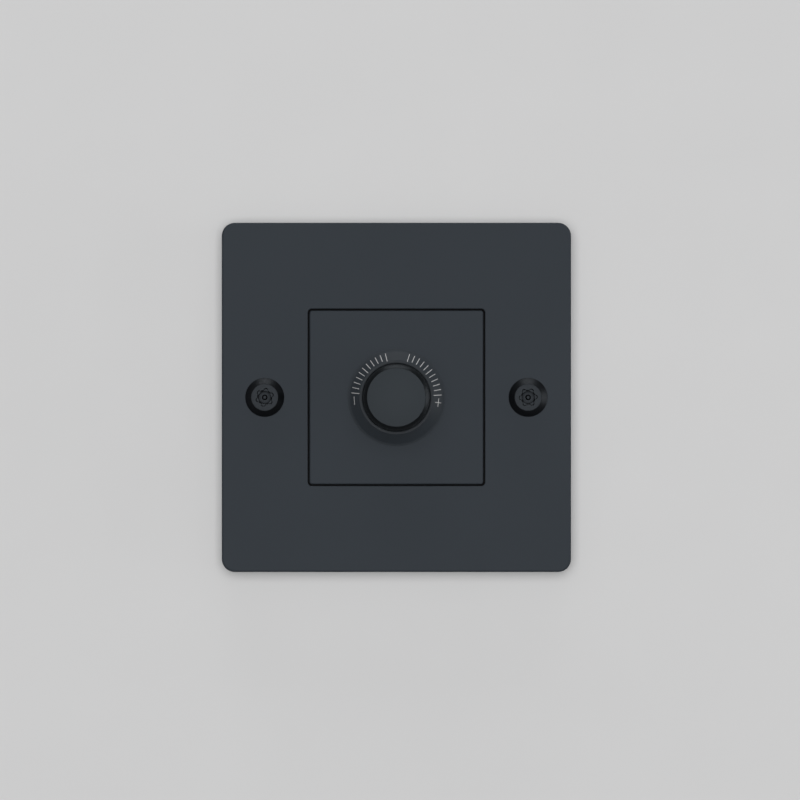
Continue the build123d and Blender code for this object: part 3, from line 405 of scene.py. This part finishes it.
def noise(tree, vector, scale, detail, rough=0.5):
    """Noise of a scale in features per metre."""
    links = [("Vector", vector), ("Scale", scale), ("Detail", detail), ("Roughness", rough)]
    return put(tree, "ShaderNodeTexNoise", links).outputs["Fac"]


def blend_colour(tree, factor, first, second):
    """A mix of two colours."""
    links = [(0, factor), (6, first), (7, second)]
    return put(tree, "ShaderNodeMix", links, data_type="RGBA").outputs[2]


def blend(tree, first, second, share):
    """A mean of two values, of which the first has the share."""
    parts = [maths(tree, "MULTIPLY", first, share), maths(tree, "MULTIPLY", second, 1 - share)]
    return maths(tree, "ADD", *parts)


def swing_of(tree, value, width):
    """A value between 0 and 1 as a swing of some width about zero."""
    return maths(tree, "MULTIPLY_ADD", value, width, -width / 2)


FINISH_INPUTS = [("Vector", "vector"), ("Deep", "colour"), ("Pale", "colour"), ("Scale", "value"),
                 ("Rough", "value")]
FINISH_OUTPUTS = [("Color", "colour"), ("Roughness", "value"), ("Height", "value")]


def finish_group(name, draw):
    """A finish as a node group: its colour runs from deep to pale with a mask, its roughness swings
    about a middle value and its height feeds a bump."""
    tree, source, sink = new_group(name, FINISH_INPUTS, FINISH_OUTPUTS)
    mask, swing, height = draw(tree, source.outputs["Vector"], source.outputs["Scale"])
    colour = blend_colour(tree, mask, source.outputs["Deep"], source.outputs["Pale"])
    tree.links.new(colour, sink.inputs["Color"])
    rough = maths(tree, "ADD", source.outputs["Rough"], swing)
    tree.links.new(rough, sink.inputs["Roughness"])
    tree.links.new(height, sink.inputs["Height"])
    return tree


def draw_coat(tree, vector, scale):
    """Powder coat: broad soft mottling, a fine orange-peel grain and finer specks."""
    broad = noise(tree, vector, scale=38.0, detail=3.0)
    grain = noise(tree, vector, scale, detail=3.0, rough=0.6)
    finer, speck_height = 3.1, 0.35
    speck = noise(tree, vector, maths(tree, "MULTIPLY", scale, finer), detail=1.0)
    height = maths(tree, "MULTIPLY_ADD", speck, speck_height, grain)
    return blend(tree, broad, speck, share=0.7), swing_of(tree, grain, width=0.12), height


def draw_metal(tree, vector, scale):
    """Rolled or turned metal: streaks drawn out along one direction, with a faint cloud over them."""
    squeeze = (1.0, 0.06, 1.0)
    stretched = put(tree, "ShaderNodeVectorMath", [(0, vector), (1, squeeze)],
                    operation="MULTIPLY").outputs[0]
    streak = noise(tree, stretched, scale, detail=3.0, rough=0.65)
    cloud = noise(tree, vector, scale=120.0, detail=2.0)
    return blend(tree, streak, cloud, share=0.6), swing_of(tree, cloud, width=0.2), streak


def draw_moulding(tree, vector, scale):
    """Spark-eroded moulding: small rounded cells of a Voronoi field under a soft cloud."""
    links = [("Vector", vector), ("Scale", scale)]
    cell = put(tree, "ShaderNodeTexVoronoi", links, feature="SMOOTH_F1").outputs["Distance"]
    cloud = noise(tree, vector, scale=90.0, detail=3.0)
    return blend(tree, cell, cloud, share=0.5), swing_of(tree, cloud, width=0.16), cell


def draw_weave(tree, vector, scale):
    """Glass or paper laminate: two crossed bands of waves that show through the resin."""
    links = [("Vector", vector), ("Scale", scale), ("Distortion", 0.6)]
    bands = [put(tree, "ShaderNodeTexWave", links, bands_direction=way).outputs["Fac"] for way in "XZ"]
    weave = maths(tree, "MULTIPLY", *bands)
    cloud = noise(tree, vector, scale=140.0, detail=3.0)
    return blend(tree, weave, cloud, share=0.4), swing_of(tree, cloud, width=0.14), weave


COAT = finish_group("powder_coat", draw_coat)
METAL = finish_group("drawn_metal", draw_metal)
MOULDING = finish_group("moulded_skin", draw_moulding)
WEAVE = finish_group("laminate_weave", draw_weave)


def finish(name, effect, deep, pale, scale, rough, bump, metallic=0.0, specular=0.5, tint=(1, 1, 1)):
    """A material that places one finish group under a Principled shader, on Object coordinates."""
    material = bpy.data.materials.new(name)
    material.use_nodes = True
    tree = material.node_tree
    shader = tree.nodes["Principled BSDF"]
    place = tree.nodes.new("ShaderNodeTexCoord")
    group = put(tree, "ShaderNodeGroup", node_tree=effect)
    tree.links.new(place.outputs["Object"], group.inputs["Vector"])
    group.inputs["Deep"].default_value = (*deep, 1)
    group.inputs["Pale"].default_value = (*pale, 1)
    group.inputs["Scale"].default_value = scale
    group.inputs["Rough"].default_value = rough
    ridge = put(tree, "ShaderNodeBump", [("Height", group.outputs["Height"]), ("Distance", bump * MM),
                                         ("Strength", 1.0)])
    tree.links.new(group.outputs["Color"], shader.inputs["Base Color"])
    tree.links.new(group.outputs["Roughness"], shader.inputs["Roughness"])
    tree.links.new(ridge.outputs["Normal"], shader.inputs["Normal"])
    shader.inputs["Metallic"].default_value = metallic
    shader.inputs["Specular IOR Level"].default_value = specular
    shader.inputs["Specular Tint"].default_value = (*tint, 1)
    return material


# The finishes by slot: colours are linear, scale is in features to the metre and bump in millimetres.
PLATE = dict(effect=COAT, deep=(0.0273, 0.0331, 0.0397), pale=(0.0316, 0.038, 0.0457), scale=3800,
             rough=0.5, bump=0.004, specular=0.055)
FINISH_ROWS = {
    "plate_coat": PLATE,
    "insert_coat": PLATE,
    "dial_coat": dict(effect=COAT, deep=(0.023, 0.0277, 0.033), pale=(0.0261, 0.0314, 0.0373), scale=4200,
                      rough=0.5, bump=0.003, specular=0.125),
    "knob_coat": dict(effect=COAT, deep=(0.002, 0.0025, 0.003), pale=(0.0035, 0.004, 0.0045), scale=5200,
                      rough=0.38, bump=0.002, specular=0.151, tint=(0.77, 0.89, 1.0)),
    "screw_coat": dict(effect=COAT, deep=(0.001, 0.0012, 0.0015), pale=(0.002, 0.0022, 0.0026), scale=5200,
                       rough=0.46, bump=0.002, specular=0.215, tint=(0.79, 0.89, 1.0)),
    "scale_print": dict(effect=COAT, deep=(0.36, 0.36, 0.365), pale=(0.43, 0.43, 0.435), scale=6000,
                        rough=0.6, bump=0.002),
    # yoke_coat: near black partly as painted shade: the yoke shows through the gap round the insert, and
    # its coat is set this dark so that this recess reads dark
    "yoke_coat": dict(effect=METAL, deep=(0.005, 0.005, 0.0055), pale=(0.01, 0.01, 0.011), scale=2600,
                      rough=0.6, bump=0.004, specular=0.06),
    "zinc_steel": dict(effect=METAL, deep=(0.36, 0.37, 0.38), pale=(0.54, 0.55, 0.56), scale=2600,
                       rough=0.5, bump=0.004, metallic=1.0),
    "die_cast": dict(effect=MOULDING, deep=(0.36, 0.36, 0.36), pale=(0.5, 0.5, 0.5), scale=2400,
                     rough=0.5, bump=0.01, metallic=1.0),
    "shaft_metal": dict(effect=METAL, deep=(0.5, 0.44, 0.3), pale=(0.7, 0.63, 0.46), scale=3000,
                        rough=0.3, bump=0.003, metallic=1.0),
    "spring_steel": dict(effect=METAL, deep=(0.4, 0.4, 0.42), pale=(0.58, 0.58, 0.6), scale=3000,
                         rough=0.3, bump=0.003, metallic=1.0),
    "housing_moulding": dict(effect=MOULDING, deep=(0.03, 0.03, 0.033), pale=(0.06, 0.06, 0.065),
                             scale=3200, rough=0.55, bump=0.02),
    "works_moulding": dict(effect=MOULDING, deep=(0.44, 0.39, 0.3), pale=(0.58, 0.53, 0.42), scale=2600,
                           rough=0.5, bump=0.01),
    "laminate": dict(effect=WEAVE, deep=(0.2, 0.11, 0.05), pale=(0.36, 0.22, 0.11), scale=500,
                     rough=0.5, bump=0.01),
    "contact_metal": dict(effect=METAL, deep=(0.6, 0.54, 0.38), pale=(0.78, 0.72, 0.54), scale=3000,
                          rough=0.3, bump=0.003, metallic=1.0),
    "terminal_brass": dict(effect=METAL, deep=(0.55, 0.39, 0.14), pale=(0.76, 0.59, 0.28), scale=2600,
                           rough=0.32, bump=0.004, metallic=1.0),
    "board_laminate": dict(effect=WEAVE, deep=(0.02, 0.12, 0.05), pale=(0.06, 0.25, 0.11), scale=450,
                           rough=0.4, bump=0.01),
    "film_box": dict(effect=MOULDING, deep=(0.6, 0.42, 0.06), pale=(0.78, 0.58, 0.12), scale=1800,
                     rough=0.35, bump=0.006),
    "can_sleeve": dict(effect=MOULDING, deep=(0.04, 0.06, 0.18), pale=(0.09, 0.12, 0.28), scale=900,
                       rough=0.3, bump=0.004),
    "fuse_tube": dict(effect=MOULDING, deep=(0.72, 0.7, 0.64), pale=(0.86, 0.84, 0.8), scale=2000,
                      rough=0.4, bump=0.004),
    "ferrite": dict(effect=MOULDING, deep=(0.06, 0.06, 0.06), pale=(0.12, 0.12, 0.12), scale=3600,
                    rough=0.6, bump=0.02),
    "copper": dict(effect=METAL, deep=(0.5, 0.22, 0.08), pale=(0.76, 0.42, 0.2), scale=2200,
                   rough=0.3, bump=0.003, metallic=1.0),
    "sink_metal": dict(effect=METAL, deep=(0.58, 0.58, 0.59), pale=(0.78, 0.78, 0.79), scale=2600,
                       rough=0.36, bump=0.005, metallic=1.0),
    "chip_moulding": dict(effect=MOULDING, deep=(0.02, 0.02, 0.02), pale=(0.045, 0.045, 0.045), scale=3000,
                          rough=0.5, bump=0.008),
}
FINISHES = {name: finish(name, **row) for name, row in FINISH_ROWS.items()}


def dress(piece, material):
    """Gives a piece one material in its only slot."""
    piece.data.materials.clear()
    piece.data.materials.append(material)


# The new pieces, and the finish of every piece
screws = joined([moved(screw_skin(turn), x) for x, turn in zip((-FIXING_X, FIXING_X), SCREW_TURNS)])
new_pieces = [
    make_piece("threaded_fixing_screws", screws, "base", "screw_coat", sharp=35,
               stands_for=["fixing_screws"]),
    make_piece("knurled_knob", knob_skin(), "knob", "knob_coat", sharp=30, stands_for=["control_knob"]),
    make_piece("dial_ring", collar_skin(), "base", "dial_coat", sharp=35, stands_for=["scale_collar"]),
    make_piece("coiled_return_spring", spring_skin(), "base", "spring_steel", sharp=60,
               stands_for=["return_spring"]),
    make_piece("wound_choke_wire", winding_skin(), "base", "copper", sharp=60,
               stands_for=["choke_winding"]),
]
for piece in new_pieces:
    dress(piece, FINISHES[piece["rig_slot"]])
scale = make_piece("printed_scale", scale_skin(), "base", "dial_coat", sharp=30)
dress(scale, FINISHES["scale_print"])
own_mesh(bpy.data.objects["coiled_return_spring"])
for row in frame["record"]["subparts"]:
    dress(frame["nodes"][row["node"]], FINISHES[row["material_slot"]])


# The wall, the lights and the camera


def wall_material():
    """The wall's matt paint, seen from the room only: from behind it lets everything through."""
    material = finish("wall_paint", effect=COAT, deep=(0.585, 0.585, 0.585), pale=(0.615, 0.615, 0.615),
                      scale=900, rough=0.9, bump=0.0, specular=0.0)
    tree = material.node_tree
    shader = tree.nodes["Principled BSDF"]
    clear = tree.nodes.new("ShaderNodeBsdfTransparent")
    side = tree.nodes.new("ShaderNodeNewGeometry")
    choose = tree.nodes.new("ShaderNodeMixShader")
    tree.links.new(side.outputs["Backfacing"], choose.inputs[0])
    tree.links.new(shader.outputs[0], choose.inputs[1])
    tree.links.new(clear.outputs[0], choose.inputs[2])
    tree.links.new(choose.outputs[0], tree.nodes["Material Output"].inputs["Surface"])
    return material


def make_wall():
    """The wall that the plate lies on, from far out to the opening behind the plate, whose outline is a
    rounded square: a small circle's points, each set out from the middle by its own corner's centre."""
    half, corner, reach, level = 39.85, 2.85, 2000.0, -0.02
    count = 64
    turn = directions(count) + np.pi / count
    across = np.stack([np.cos(turn), np.sin(turn)], -1)
    opening = np.sign(across) * (half - corner) + across * corner
    plan = np.stack([across * reach, opening])
    points = np.concatenate([plan, np.full((2, count, 1), level)], -1).reshape(-1, 3)
    mesh = bpy.data.meshes.new("wall")
    mesh.from_pydata(stand(points).tolist(), [], grid_faces(2, count).tolist())
    wall = bpy.data.objects.new("wall", mesh)
    bpy.context.scene.collection.objects.link(wall)
    dress(wall, wall_material())


def soft_light(name, place, width, height, watts):
    """A soft light panel that faces the plate's middle, its place and size in metres."""
    lamp = bpy.data.lights.new(name, "AREA")
    lamp.shape = "RECTANGLE"
    lamp.size = width
    lamp.size_y = height
    lamp.energy = watts
    light = bpy.data.objects.new(name, lamp)
    bpy.context.scene.collection.objects.link(light)
    light.location = place
    light.rotation_euler = (-light.location).to_track_quat("-Z", "Y").to_euler()


def make_camera():
    """A long lens square to the plate, a little off its middle; the view is the width of the picture on
    the plate's face."""
    view, right, up = 183.2, 0.82, -0.60
    lens = bpy.data.cameras.new("camera")
    lens.lens = 300.0
    lens.sensor_width = 36.0
    camera = bpy.data.objects.new("camera", lens)
    bpy.context.scene.collection.objects.link(camera)
    distance = view * lens.lens / lens.sensor_width
    camera.location = (right * MM, -(distance + FACE) * MM, up * MM)
    camera.rotation_euler = (math.pi / 2, 0, 0)
    lens.clip_end = 20.0
    bpy.context.scene.camera = camera


make_wall()
soft_light("front_light", (0.03, -3.4, 0.03), width=0.2, height=0.2, watts=19.5)
soft_light("key_light", (-0.1, -3.0, 0.3), width=3.4, height=3.4, watts=81.5)
soft_light("top_light", (0.0, -0.25, 3.0), width=2.4, height=0.45, watts=37.5)
soft_light("right_light", (3.0, -0.25, 0.0), width=0.45, height=1.8, watts=26.0)
soft_light("rear_light", (0.8, 2.0, 1.2), width=4.0, height=4.0, watts=60.0)
soft_light("rear_fill", (-1.8, 1.6, -0.4), width=3.2, height=3.2, watts=34.0)
world = bpy.data.worlds.new("studio")
world.use_nodes = True
world.node_tree.nodes["Background"].inputs["Color"].default_value = (0.15, 0.15, 0.153, 1)
bpy.context.scene.world = world
bpy.context.scene.view_settings.view_transform = "Standard"
make_camera()
